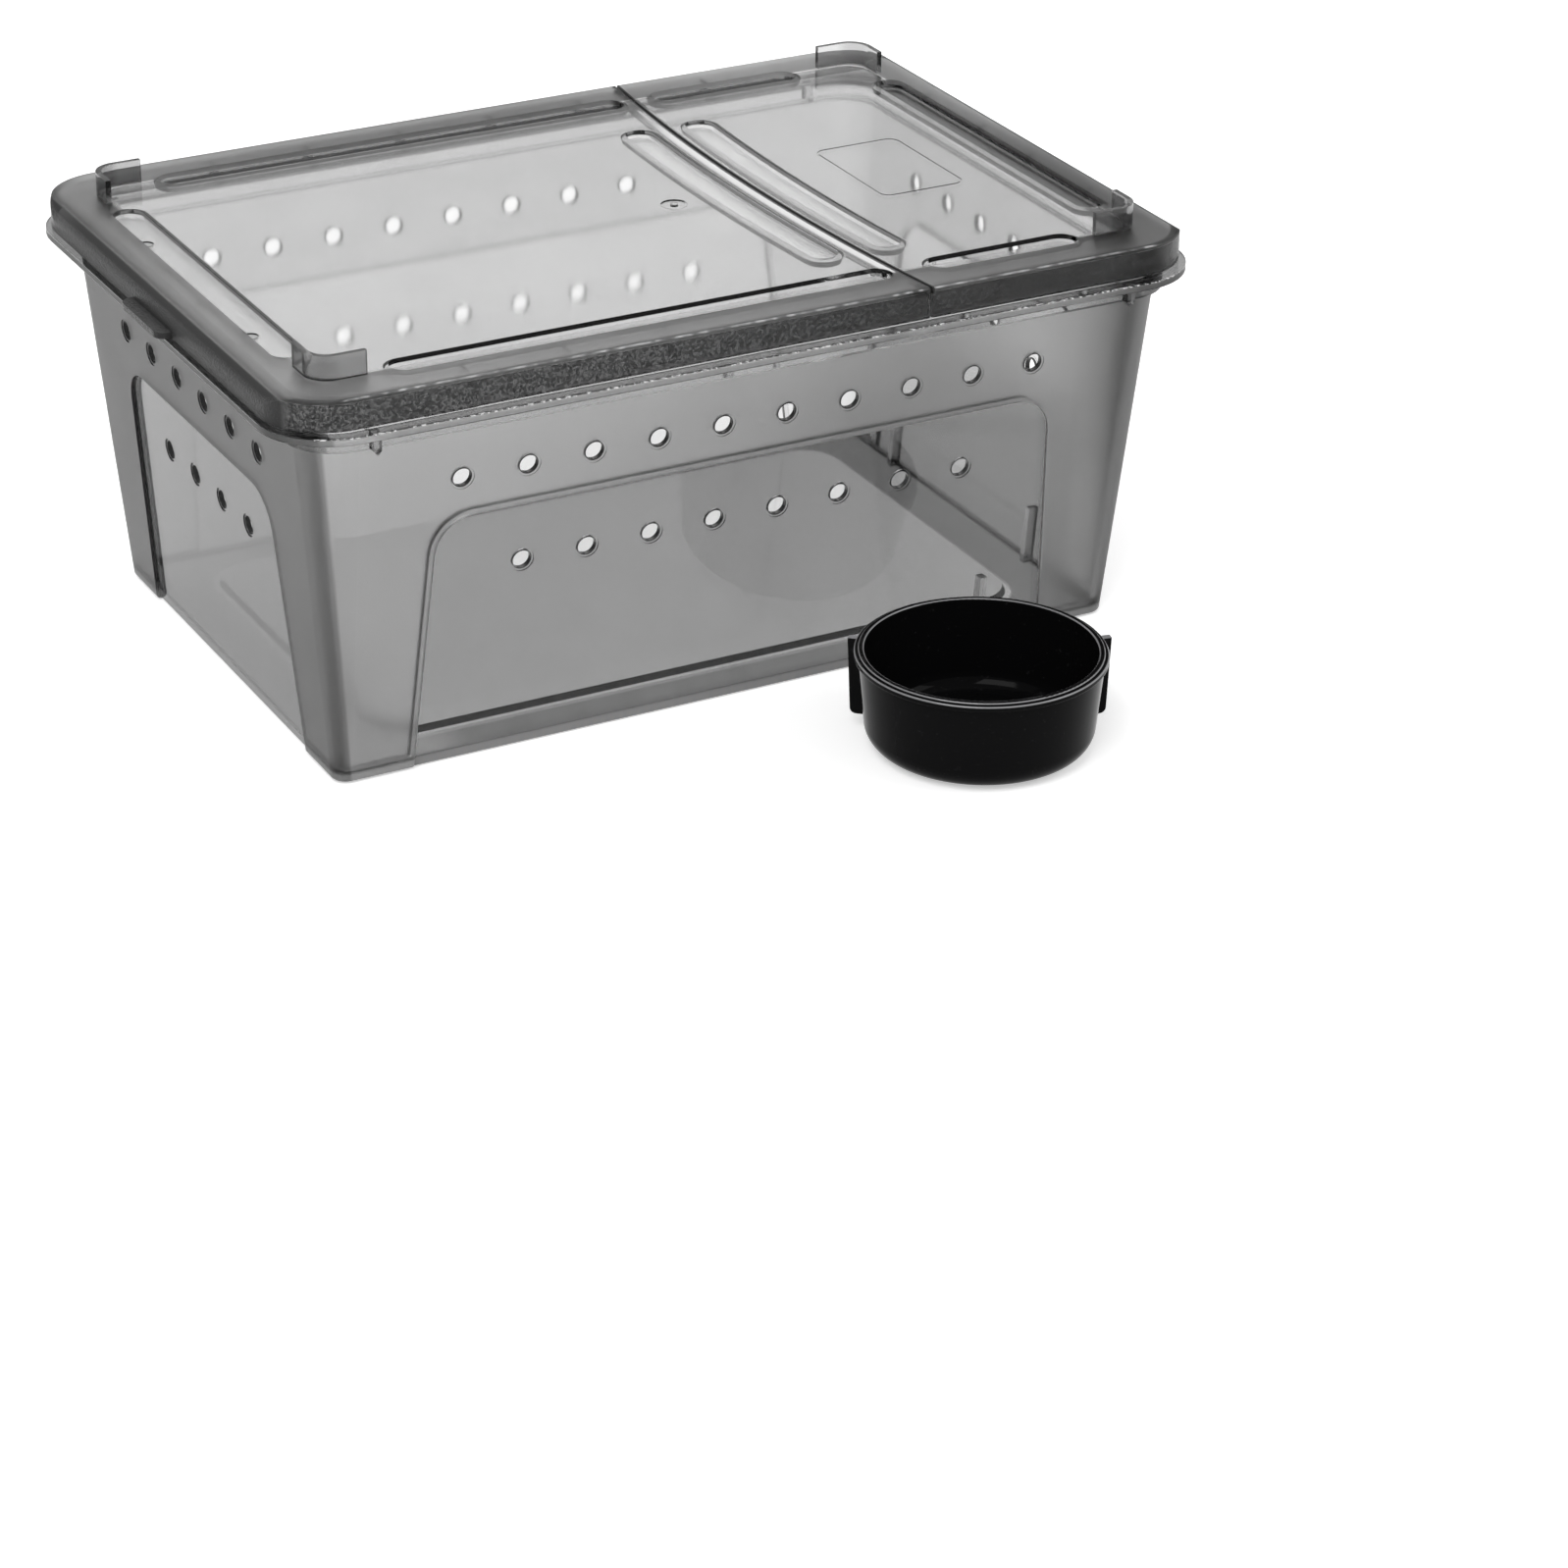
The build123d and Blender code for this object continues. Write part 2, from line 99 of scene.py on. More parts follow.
# Stage
FLOOR_DROP = 0.6 * MM
FLOOR_GREY = 0.80
FLOOR_GLOW = 0.45  # to the camera and in reflections
WORLD_LIGHT = 0.55  # as a light; 1 to the camera and through the plastic
CAMERA_TARGET = Vector((53.108, 49.802, -31.304)) * MM
CAMERA_SHIFT = (0.0620, -0.1245)
SENSOR_WIDTH = 36.0
CAMERA_REACH = 50.0
LAMP_TARGET = Vector((0.0, 0.0, 50.0)) * MM
LAMPS = (  # name, place, sides in metres, watts
    ("key_light", (-1.4, -1.2, 2.2), (1.6, 1.6), 45.0),
    ("fill_light", (1.8, -1.4, 1.6), (1.4, 1.4), 18.0),
    ("back_light", (0.3, 2.0, 1.8), (2.0, 1.2), 20.0),
)


class TerrariumLook(bpy.types.PropertyGroup):
    """Colours, painted shade, painted highlights and surface finishes of the mouldings."""

    tub_colour: FloatVectorProperty(
        name="Tub tint",
        description="Colour that the tub's plastic lets through at its surface",
        subtype="COLOR",
        size=3,
        min=0.0,
        max=1.0,
        default=(0.66, 0.66, 0.66),
    )
    lid_colour: FloatVectorProperty(
        name="Lid tint",
        description="Colour that the lid's plastic lets through at its surface",
        subtype="COLOR",
        size=3,
        min=0.0,
        max=1.0,
        default=(0.68, 0.68, 0.68),
    )
    clear_colour: FloatVectorProperty(
        name="Clear tint",
        description="Tint of the places where the plastic hardly takes any light",
        subtype="COLOR",
        size=3,
        min=0.0,
        max=1.0,
        default=(0.98, 0.98, 0.98),
    )
    cloud_colour: FloatVectorProperty(
        name="Cloudy tint",
        description="Tint of the slightly cloudier patches",
        subtype="COLOR",
        size=3,
        min=0.0,
        max=1.0,
        default=(0.48, 0.48, 0.48),
    )
    # Painted shade: darkens walls, skirts, upstand, rims, grooves and tabs where layers or
    # shadows lie behind them
    painted_shade_colour: FloatVectorProperty(
        name="Dark tint",
        description="Tint of the skirts and the upstand, where layers lie behind each other",
        subtype="COLOR",
        size=3,
        min=0.0,
        max=1.0,
        default=(0.13, 0.13, 0.13),
    )
    milk_colour: FloatVectorProperty(
        name="Milky colour",
        description="Colour of the light that the frosted plastic scatters back",
        subtype="COLOR",
        size=3,
        min=0.0,
        max=1.0,
        default=(0.32, 0.32, 0.32),
    )
    # Painted highlight on sharp edges, beside the seam and low in the drain holes
    painted_highlight_colour: FloatVectorProperty(
        name="Edge colour",
        description="Colour of the sharp edges where they catch the light",
        subtype="COLOR",
        size=3,
        min=0.0,
        max=1.0,
        default=(0.85, 0.85, 0.85),
    )
    # Painted shade, nearly black, on hole sides, narrow gaps, groove lines and floors, and the
    # skirts' ends
    shade_colour: FloatVectorProperty(
        name="Shade colour",
        description="Colour of the vent holes' sides and of narrow gaps, which show nearly black",
        subtype="COLOR",
        size=3,
        min=0.0,
        max=1.0,
        default=(0.02, 0.02, 0.02),
    )
    tub_density: FloatProperty(
        name="Tub darkness",
        description="How strongly the tub's plastic takes light, per metre",
        default=70.0,
        min=0.0,
    )
    lid_density: FloatProperty(
        name="Lid darkness",
        description="How strongly the lid's plastic takes light, per metre",
        default=40.0,
        min=0.0,
    )
    clear_roughness: FloatProperty(
        name="Polished roughness",
        description="Roughness of the polished panels and of the inner sides",
        subtype="FACTOR",
        default=0.03,
        min=0.0,
        max=1.0,
    )
    lid_roughness: FloatProperty(
        name="Lid roughness",
        description="Roughness of the lid's middle, which blurs what is seen through it a little",
        subtype="FACTOR",
        default=0.045,
        min=0.0,
        max=1.0,
    )
    frost_roughness: FloatProperty(
        name="Frosted roughness",
        description="Roughness of the finely textured outside",
        subtype="FACTOR",
        default=0.42,
        min=0.0,
        max=1.0,
    )
    bowl_colour: FloatVectorProperty(
        name="Bowl colour",
        description="Colour of the black bowl",
        subtype="COLOR",
        size=3,
        min=0.0,
        max=1.0,
        default=(0.003, 0.003, 0.0032),
    )
    # Painted highlight on the bowl's turned edges, and the colour of its real scuffs
    bowl_scuff_and_highlight_colour: FloatVectorProperty(
        name="Bowl edge colour",
        description="Colour of the bowl's turned edges and of its fine scuffs",
        subtype="COLOR",
        size=3,
        min=0.0,
        max=1.0,
        default=(0.35, 0.35, 0.36),
    )


class TerrariumStage(bpy.types.PropertyGroup):
    """Camera, floor and lights."""

    camera_distance: FloatProperty(
        name="Camera distance",
        description="From the camera to the point that it looks at",
        subtype="DISTANCE",
        default=1.65,
        min=0.1,
    )
    camera_azimuth: FloatProperty(
        name="Camera azimuth",
        description="Angle round the object, from the front",
        subtype="ANGLE",
        default=radians(-27.072),
    )
    camera_elevation: FloatProperty(
        name="Camera elevation",
        description="Angle above the floor",
        subtype="ANGLE",
        default=radians(25.067),
    )
    focal_length: FloatProperty(
        name="Focal length",
        description="On a sensor 36 mm wide",
        default=108.455,
        min=1.0,
    )
    floor_size: FloatProperty(
        name="Floor size",
        description="Side of the pale floor",
        subtype="DISTANCE",
        default=12.0,
        min=1.0,
    )


def look():
    """Settings of the mouldings."""
    return bpy.context.scene.terrarium_look


class Tree:
    """Short way to build a node tree."""

    def __init__(self, name):
        self.material = bpy.data.materials.new(name)
        self.material.use_nodes = True
        self.nodes = self.material.node_tree.nodes
        self.links = self.material.node_tree.links
        self.nodes.clear()
        self.out = self.nodes.new("ShaderNodeOutputMaterial")

    def put(self, socket, value):
        """Link the socket to another one, or give it a value."""
        if isinstance(value, bpy.types.NodeSocket):
            self.links.new(value, socket)
        else:
            socket.default_value = value

    def math(self, operation, a, b=0.0):
        node = self.nodes.new("ShaderNodeMath")
        node.operation = operation
        self.put(node.inputs[0], a)
        self.put(node.inputs[1], b)
        return node.outputs[0]

    def add(self, a, b):
        return self.math("ADD", a, b)

    def minus(self, a, b):
        return self.math("SUBTRACT", a, b)

    def times(self, a, b):
        return self.math("MULTIPLY", a, b)

    def absolute(self, a):
        return self.math("ABSOLUTE", a)

    def less(self, a, b):
        return self.math("LESS_THAN", a, b)

    def length(self, a, b):
        """Length of the line with the two given sides."""
        return self.math("SQRT", self.add(self.times(a, a), self.times(b, b)))

    def ramp(self, value, low, high, out_low=0.0, out_high=1.0):
        """Smooth step from out_low at low to out_high at high."""
        node = self.nodes.new("ShaderNodeMapRange")
        node.interpolation_type = "SMOOTHSTEP"
        for socket, given in zip(node.inputs, (value, low, high, out_low, out_high)):
            self.put(socket, given)
        return node.outputs[0]

    def above(self, value, limit, soft):
        """1 above the limit and 0 below it, over a soft edge in millimetres."""
        return self.ramp(value, limit - soft * MM, limit + soft * MM)

    def below(self, value, limit, soft):
        """1 below the limit and 0 above it, over a soft edge in millimetres."""
        return self.ramp(value, limit - soft * MM, limit + soft * MM, 1.0, 0.0)

    def mix(self, factor, a, b):
        node = self.nodes.new("ShaderNodeMix")
        node.data_type = "FLOAT"
        self.put(node.inputs[0], factor)
        self.put(node.inputs[2], a)
        self.put(node.inputs[3], b)
        return node.outputs[0]

    def mix_colour(self, factor, a, b):
        node = self.nodes.new("ShaderNodeMix")
        node.data_type = "RGBA"
        self.put(node.inputs[0], factor)
        self.put(node.inputs[6], a)
        self.put(node.inputs[7], b)
        return node.outputs[2]

    def all_of(self, first, *others):
        """Product of several masks."""
        for other in others:
            first = self.times(first, other)
        return first

    def either(self, first, *others):
        """Largest of several masks."""
        for other in others:
            first = self.math("MAXIMUM", first, other)
        return first

    def inverse(self, mask):
        return self.minus(1.0, mask)

    def position(self):
        """Object coordinates, whole and split, in metres."""
        coords = self.nodes.new("ShaderNodeTexCoord").outputs["Object"]
        split = self.nodes.new("ShaderNodeSeparateXYZ")
        self.put(split.inputs[0], coords)
        return coords, split.outputs[0], split.outputs[1], split.outputs[2]

    def noise(self, coords, scale, detail=2.0, roughness=0.5):
        node = self.nodes.new("ShaderNodeTexNoise")
        self.put(node.inputs["Vector"], coords)
        node.inputs["Scale"].default_value = scale
        node.inputs["Detail"].default_value = detail
        node.inputs["Roughness"].default_value = roughness
        return node.outputs["Fac"]

    def bump(self, height, strength, distance, normal=None):
        node = self.nodes.new("ShaderNodeBump")
        self.put(node.inputs["Height"], height)
        self.put(node.inputs["Strength"], strength)
        node.inputs["Distance"].default_value = distance
        if normal is not None:
            self.put(node.inputs["Normal"], normal)
        return node.outputs[0]

    def outline_distance(self, x, y, half_x, half_y, corner):
        """Distance outside a rounded rectangle, negative inside it."""
        past_x = self.minus(self.absolute(x), self.minus(half_x, corner))
        past_y = self.minus(self.absolute(y), self.minus(half_y, corner))
        outer = self.length(
            self.math("MAXIMUM", past_x, 0.0), self.math("MAXIMUM", past_y, 0.0)
        )
        inner = self.math("MINIMUM", self.math("MAXIMUM", past_x, past_y), 0.0)
        return self.minus(self.add(outer, inner), corner)

    def within(self, x, y, outline):
        """1 inside a rounded rectangle."""
        return self.below(self.outline_distance(x, y, *outline), 0.05 * MM, 0.05)

    def shader(self, **sockets):
        node = self.nodes.new("ShaderNodeBsdfPrincipled")
        for name, value in sockets.items():
            self.put(node.inputs[name.replace("_", " ")], value)
        self.links.new(node.outputs[0], self.out.inputs["Surface"])

    def smoke_volume(self, density):
        node = self.nodes.new("ShaderNodeVolumeAbsorption")
        node.inputs["Color"].default_value = (0.0, 0.0, 0.0, 1.0)
        node.inputs["Density"].default_value = density
        self.links.new(node.outputs[0], self.out.inputs["Volume"])


def colour(values):
    """Opaque colour."""
    return (*values, 1.0)


def frosted_smoke(name, masks_of, smoke, polish, density):
    """Smoke-tinted plastic.

    The masks say where its outside is finely textured, where it hardly takes any light,
    where painted shade darkens it, where its grain is coarse, where it scatters light like
    milk glass, where a painted highlight lies on sharp edges, beside the seam and low in the
    drain holes, where a nearly black painted shade fills hole sides, narrow gaps, groove
    lines and floors and the skirts' ends, and where the surface is too dull to mirror the room.
    """
    settings = look()
    tree = Tree(name)
    coords, x, y, z = tree.position()
    masks = masks_of(tree, coords, x, y, z)
    blotches = tree.noise(coords, *BLOTCHES)
    grain = tree.noise(coords, *GRAIN)
    pebbles = tree.noise(coords, *PEBBLES)
    rough = tree.mix(
        masks["frost"],
        tree.add(polish, tree.times(blotches, 0.01)),
        tree.add(settings.frost_roughness, tree.times(blotches, 0.08)),
    )
    rough = tree.mix(masks["coarse"], rough, COARSE_ROUGHNESS)
    normal = tree.bump(grain, tree.times(masks["frost"], 0.35), GRAIN_HEIGHT)
    normal = tree.bump(pebbles, masks["coarse"], PEBBLE_HEIGHT, normal)
    cloud = tree.times(tree.ramp(blotches, 0.35, 0.65), 0.10)
    tint = tree.mix_colour(cloud, colour(smoke), colour(settings.cloud_colour))
    # Painted shade, near-black painted shade and painted highlights go into the colour here, and
    # also cut what the plastic lets through
    for mask, finish_and_painted_light in (
        ("clear", settings.clear_colour),
        ("painted_shade", settings.painted_shade_colour),
        ("milk", settings.milk_colour),
        ("edge", settings.painted_highlight_colour),
        ("shade", settings.shade_colour),
    ):
        tint = tree.mix_colour(masks[mask], tint, colour(finish_and_painted_light))
    through = tree.all_of(
        tree.ramp(masks["edge"], 0.0, 1.0, 1.0, 0.15),
        tree.ramp(masks["milk"], 0.0, 1.0, 1.0, 0.10),
        tree.inverse(masks["shade"]),
    )
    tree.shader(
        Base_Color=tint,
        Roughness=rough,
        IOR=tree.ramp(masks["dull"], 0.0, 1.0, PLASTIC_IOR, DULL_IOR),
        Specular_Tint=(0.5, 0.5, 0.5, 1.0),
        Transmission_Weight=through,
        Normal=normal,
    )
    tree.smoke_volume(density)
    return tree.material


def hole_mask(tree, along, to_wall, z, lean, rows):
    """Sides of the vent holes in the two rows of a wall, as far along as the rows reach, which
    get painted shade.
    """
    beside = tree.math("PINGPONG", tree.add(along, 0.5 * HOLE_PITCH), 0.5 * HOLE_PITCH)
    found = []
    for row_z, recess, reach in zip((UPPER_ROW_Z, LOWER_ROW_Z), (0.0, PANEL_RECESS), rows):
        inward = tree.times(tree.add(to_wall, recess), lean)
        rise = tree.add(tree.minus(z, row_z), inward)
        found.append(
            tree.all_of(
                tree.below(tree.length(beside, rise), HOLE_REACH, 0.05),
                tree.less(tree.absolute(along), reach),
            )
        )
    return tree.all_of(tree.either(*found), tree.above(to_wall, -4.75 * MM, 0.25))


def tub_masks(tree, coords, x, y, z):
    """The tub's outside is frosted up to the shoulder, but not in the recessed panels.

    A number from 0 to 1 without a unit is the strength of a mask, here and for the lid.
    """
    half_x = tree.add(FOOT_X, tree.times(z, LEAN_X))
    half_y = tree.add(FOOT_Y, tree.times(z, LEAN_Y))
    corner = tree.add(FOOT_CORNER, tree.times(z, CORNER_LEAN))
    outside = tree.outline_distance(x, y, half_x, half_y, corner)
    to_short_wall = tree.minus(tree.absolute(x), half_x)
    to_long_wall = tree.minus(tree.absolute(y), half_y)
    on_wall = tree.above(outside, -1.0 * MM, 0.2)
    frost = tree.all_of(on_wall, tree.below(z, SHOULDER_Z, 0.2))

    # Short walls: painted shade makes the left one dark, and the right one only low in its panel
    short_panel = tree.all_of(
        tree.ramp(z, 50.0 * MM, 80.0 * MM, 1.0, 0.1),
        tree.below(tree.absolute(y), SHORT_PANEL_HALF, 1.5),
    )
    right_wall = tree.either(tree.all_of(short_panel, 0.6), 0.05)
    short_wall = tree.all_of(
        tree.above(to_short_wall, -4.85 * MM, 0.65),
        tree.mix(tree.ramp(x, -140.0 * MM, 140.0 * MM), 0.88, right_wall),
    )

    # Front wall: painted shade, darker towards the right corner, with its panel a little darker
    in_front = tree.below(y, FRONT_Y, 2.0)
    right_end = tree.ramp(x, 95.0 * MM, 142.0 * MM, 0.0, 0.95)
    in_middle = tree.ramp(x, -125.0 * MM, 0.0, 0.06, 0.34)
    near_corner = tree.all_of(in_front, tree.either(right_end, in_middle))
    inner_corner = tree.all_of(
        in_front,
        tree.above(outside, -2.7 * MM, 0.1),
        right_end,
        tree.ramp(z, 20.0 * MM, 90.0 * MM, 0.2, 0.9),
    )
    front_panel = tree.all_of(
        in_front,
        tree.below(z, PANEL_TOP_Z, 0.5),
        tree.above(to_long_wall, -4.2 * MM, 0.1),
        tree.inverse(on_wall),
        tree.ramp(x, 0.0, 110.0 * MM, 0.36, 0.24),
    )

    # Floor: clear in the raised pad, with painted shade round it
    at_floor = tree.below(z, FLOOR_Z, 0.25)
    pad = tree.outline_distance(x, y, *PAD)
    on_pad = tree.all_of(at_floor, tree.below(pad, 0.0, 0.5))
    around_pad = tree.all_of(
        at_floor,
        tree.above(pad, 0.0, 0.5),
        tree.below(outside, -3.5 * MM, 0.5),
        tree.ramp(x, -105.0 * MM, -85.0 * MM, 0.0, 0.5),
    )
    foot_edge = tree.all_of(
        tree.above(outside, -4.0 * MM, 0.5), tree.ramp(z, 2.2 * MM, 4.8 * MM, 0.6, 0.0)
    )

    # Rim: painted shade on the upstand, clear at the back, painted glints along the flange's long
    # edges, and painted shade on the flange's right end
    on_upstand = tree.above(z, UPSTAND_Z, 0.3)
    upstand = tree.all_of(on_upstand, tree.ramp(y, 80.0 * MM, 100.0 * MM, 1.0, 0.0))
    back_rim = tree.all_of(on_upstand, tree.ramp(y, 85.0 * MM, 100.0 * MM))
    flange = tree.outline_distance(x, y, *FLANGE)
    top_edge = tree.all_of(
        tree.above(flange, -0.8 * MM, 0.3), tree.above(z, 124.35 * MM, 0.15)
    )
    sparkle = tree.all_of(
        tree.above(tree.absolute(y), 106.5 * MM, 0.5),
        tree.ramp(tree.noise(coords, *SPARKLES), 0.50, 0.58),
    )
    flange_side = tree.all_of(
        tree.above(flange, -0.25 * MM, 0.15),
        tree.above(z, FLANGE_UNDER_Z, 0.15),
        tree.below(z, FLANGE_TOP_Z, 0.15),
    )
    right_flange = tree.all_of(
        tree.above(flange, -10.0 * MM, 2.0),
        tree.above(z, 122.0 * MM, 0.2),
        tree.ramp(x, 120.0 * MM, 145.0 * MM, 0.0, 0.5),
    )
    return {
        "frost": tree.either(frost, flange_side),
        "clear": tree.either(on_pad, back_rim),
        "painted_shade": tree.either(
            tree.all_of(upstand, 0.8),
            short_wall,
            tree.all_of(frost, tree.either(near_corner, 0.03)),
            inner_corner,
            front_panel,
            around_pad,
            right_flange,
        ),
        "coarse": tree.all_of(frost, 0.12),
        "milk": tree.either(foot_edge, tree.all_of(frost, 0.08), tree.all_of(flange_side, 0.3)),
        "edge": tree.all_of(top_edge, sparkle),
        "shade": tree.either(
            hole_mask(tree, x, to_long_wall, z, LEAN_Y, LONG_ROWS),
            hole_mask(tree, y, to_short_wall, z, LEAN_X, SHORT_ROWS),
        ),
        "dull": tree.all_of(frost, 0.3),
    }


def lid_masks(tree, coords, x, y, z):
    """The lid is frosted outside the line of its grooves, on top and on the skirt."""
    beyond = tree.above(tree.outline_distance(x, y, *GROOVE_LINE), 0.0, 1.5)
    top_face = tree.above(z, PLATE_Z, 0.3)
    below_tabs = tree.below(z, TAB_Z, 0.2)
    tabs = tree.inverse(below_tabs)
    rim = tree.outline_distance(x, y, *RIM)
    skirt = tree.above(rim, -3.1 * MM, 0.3)
    skirt_inside = tree.below(rim, -1.3 * MM, 0.2)
    side = tree.below(z, SKIRT_TOP_Z, 0.4)
    upright = tree.all_of(skirt, side)
    frost = tree.all_of(beyond, below_tabs, tree.either(top_face, skirt))

    # Painted shade: the rim and its underside get darker towards the back, the rim less so in its
    # right corner
    to_back = tree.add(x, tree.times(y, 1.5))
    rim_top = tree.all_of(
        beyond,
        top_face,
        tree.all_of(
            tree.ramp(to_back, -250.0 * MM, 100.0 * MM, 0.70, 1.0),
            tree.ramp(tree.add(x, y), 110.0 * MM, 220.0 * MM, 1.0, 0.7),
        ),
    )
    underside = tree.all_of(
        beyond,
        tree.above(z, 133.15 * MM, 0.15),
        tree.inverse(top_face),
        tree.ramp(to_back, -60.0 * MM, 100.0 * MM, 0.1, 0.8),
    )

    # Grooves: matte troughs, with a painted dark line where the far side meets the top; painted
    # shade also darkens the long grooves, most at the back, and the right groove
    in_trough = tree.below(z, TROUGH_Z, 0.075)
    left_end = tree.less(x, 0.0)
    past_middle = tree.minus(tree.absolute(x), SHORT_GROOVE_X)
    short_groove = tree.all_of(tree.within(past_middle, y, SHORT_GROOVE), in_trough)
    left_groove = tree.all_of(short_groove, left_end)
    right_groove = tree.all_of(short_groove, tree.inverse(left_end))
    from_seam = tree.minus(tree.length(tree.minus(x, SEAM_X), tree.minus(y, SEAM_Y)), SEAM_RADIUS)
    seam_side = tree.absolute(from_seam)
    across = tree.minus(seam_side, SEAM_GROOVE_OFFSET)
    seam_groove = tree.all_of(
        tree.within(across, tree.minus(y, SEAM_GROOVE_MIDDLE), SEAM_GROOVE), in_trough
    )
    long_groove = tree.all_of(
        tree.below(tree.absolute(tree.minus(y, LONG_GROOVE_Y)), 5.05 * MM, 0.05),
        in_trough,
        tree.inverse(top_face),
    )
    back_groove = tree.all_of(
        long_groove, tree.ramp(y, 0.0, 50.0 * MM), tree.below(z, TROUGH_FLOOR_Z, 0.04)
    )
    far_of_seam = tree.less(tree.times(across, tree.math("SIGN", from_seam)), FAR_EDGE)
    far_of_left = tree.all_of(left_end, tree.less(past_middle, FAR_EDGE))
    far_lines = tree.all_of(
        in_trough,
        tree.above(z, 134.65 * MM, 0.15),
        tree.either(
            tree.all_of(seam_groove, far_of_seam), tree.all_of(short_groove, far_of_left)
        ),
        0.6,
    )

    # Seam: a painted dark line on the gap, with a painted highlight strip beside it on the large
    # section
    seam_wall = tree.all_of(
        tree.below(seam_side, SEAM_REACH, 0.075), tree.above(z, 133.45 * MM, 0.15), 0.97
    )
    seam_highlight_strip = tree.all_of(
        tree.above(from_seam, 1.4 * MM, 0.2),
        tree.ramp(from_seam, 3.2 * MM, 5.4 * MM, 1.0, 0.0),
        tree.inverse(beyond),
        tree.above(z, 135.55 * MM, 0.05),
        tree.ramp(y, 45.0 * MM, 85.0 * MM, 0.75, 0.1),
    )

    # Holes in the left groove: painted shade on their sides above, painted highlight below
    drains = tree.within(
        tree.add(x, DRAIN_X), tree.minus(tree.absolute(y), DRAIN_Y), (DRAIN_REACH,) * 3
    )
    drain_top = tree.above(z, 132.8 * MM, 0.05)

    # Skirts: painted shade, lighter at the back and nearly black at the ends; speckled at the
    # front
    back_part = tree.ramp(y, 60.0 * MM, 100.0 * MM)
    front_part = tree.ramp(y, -20.0 * MM, 20.0 * MM, 1.0, 0.0)
    from_middle = tree.absolute(x)
    end_skirts = tree.all_of(upright, tree.above(from_middle, END_SKIRT_X, 1.0), 0.92)
    speckled_skirt = tree.all_of(
        upright,
        tree.below(from_middle, END_SKIRT_X, 1.0),
        tree.inverse(back_part),
        tree.ramp(tree.noise(coords, *PEBBLES), 0.40, 0.62, 0.05, 0.50),
        tree.ramp(x, -80.0 * MM, 100.0 * MM, 1.0, 0.45),
    )
    # A painted highlight along the long sides' top edge, broken up by noise
    edge_glint_line = tree.all_of(
        tree.above(tree.absolute(y), 107.15 * MM, 0.15),
        tree.above(z, 135.075 * MM, 0.125),
        tree.ramp(tree.noise(coords, *GLINT_NOISE), 0.35, 0.65, 0.15, 0.6),
    )
    return {
        "frost": tree.either(frost, tree.all_of(tree.either(seam_groove, left_groove), 0.5)),
        "clear": tree.either(
            tabs,
            tree.all_of(back_part, upright, skirt_inside),
            seam_groove,
            tree.all_of(left_groove, 0.4),
        ),
        "painted_shade": tree.either(
            tree.all_of(
                upright, tree.mix(back_part, 0.84, tree.times(tree.inverse(skirt_inside), 0.3))
            ),
            rim_top,
            underside,
            tree.all_of(long_groove, tree.ramp(y, 0.0, 50.0 * MM, 0.8, 1.0)),
            tree.all_of(right_groove, 0.6),
            # Painted shade on the tabs at the front
            tree.all_of(tabs, front_part, 0.35),
        ),
        "coarse": tree.all_of(tree.above(rim, -1.2 * MM, 0.2), side),
        "milk": tree.either(
            tree.all_of(frost, 0.06),
            tree.all_of(left_groove, 0.10),
            tree.all_of(tabs, tree.ramp(y, -20.0 * MM, 20.0 * MM, 0.2, 0.1)),
            speckled_skirt,
        ),
        "edge": tree.either(edge_glint_line, seam_highlight_strip, tree.all_of(drains, tree.inverse(drain_top))),
        "shade": tree.either(
            seam_wall,
            tree.all_of(drains, drain_top),
            far_lines,
            tree.all_of(back_groove, 0.5),
            end_skirts,
        ),
        "dull": tree.either(
            upright,
            back_groove,
            tree.all_of(frost, tree.ramp(to_back, -80.0 * MM, 60.0 * MM, 0.3, 0.95)),
        ),
    }


def dress(node, material):
    """Give a carried-over CAD node its finished material."""
    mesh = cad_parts[node].data
    mesh.materials.clear()
    mesh.materials.append(material)


class TERRARIUM_OT_tub(bpy.types.Operator):
    """Finish the tub: frosted walls, polished panels and rim"""

    bl_idname = "terrarium.tub"
    bl_label = "Tub"

    def execute(self, context):
        settings = look()
        material = frosted_smoke(
            "smoke_tub",
            tub_masks,
            settings.tub_colour,
            settings.clear_roughness,
            settings.tub_density,
        )
        dress("tub", material)
        return {"FINISHED"}


class TERRARIUM_OT_lid(bpy.types.Operator):
    """Finish both lid sections: polished middle, frosted rim and skirts"""

    bl_idname = "terrarium.lid"
    bl_label = "Lid sections"

    def execute(self, context):
        settings = look()
        material = frosted_smoke(
            "smoke_lid",
            lid_masks,
            settings.lid_colour,
            settings.lid_roughness,
            settings.lid_density,
        )
        for node in ("main_lid", "feeding_hatch"):
            dress(node, material)
        return {"FINISHED"}


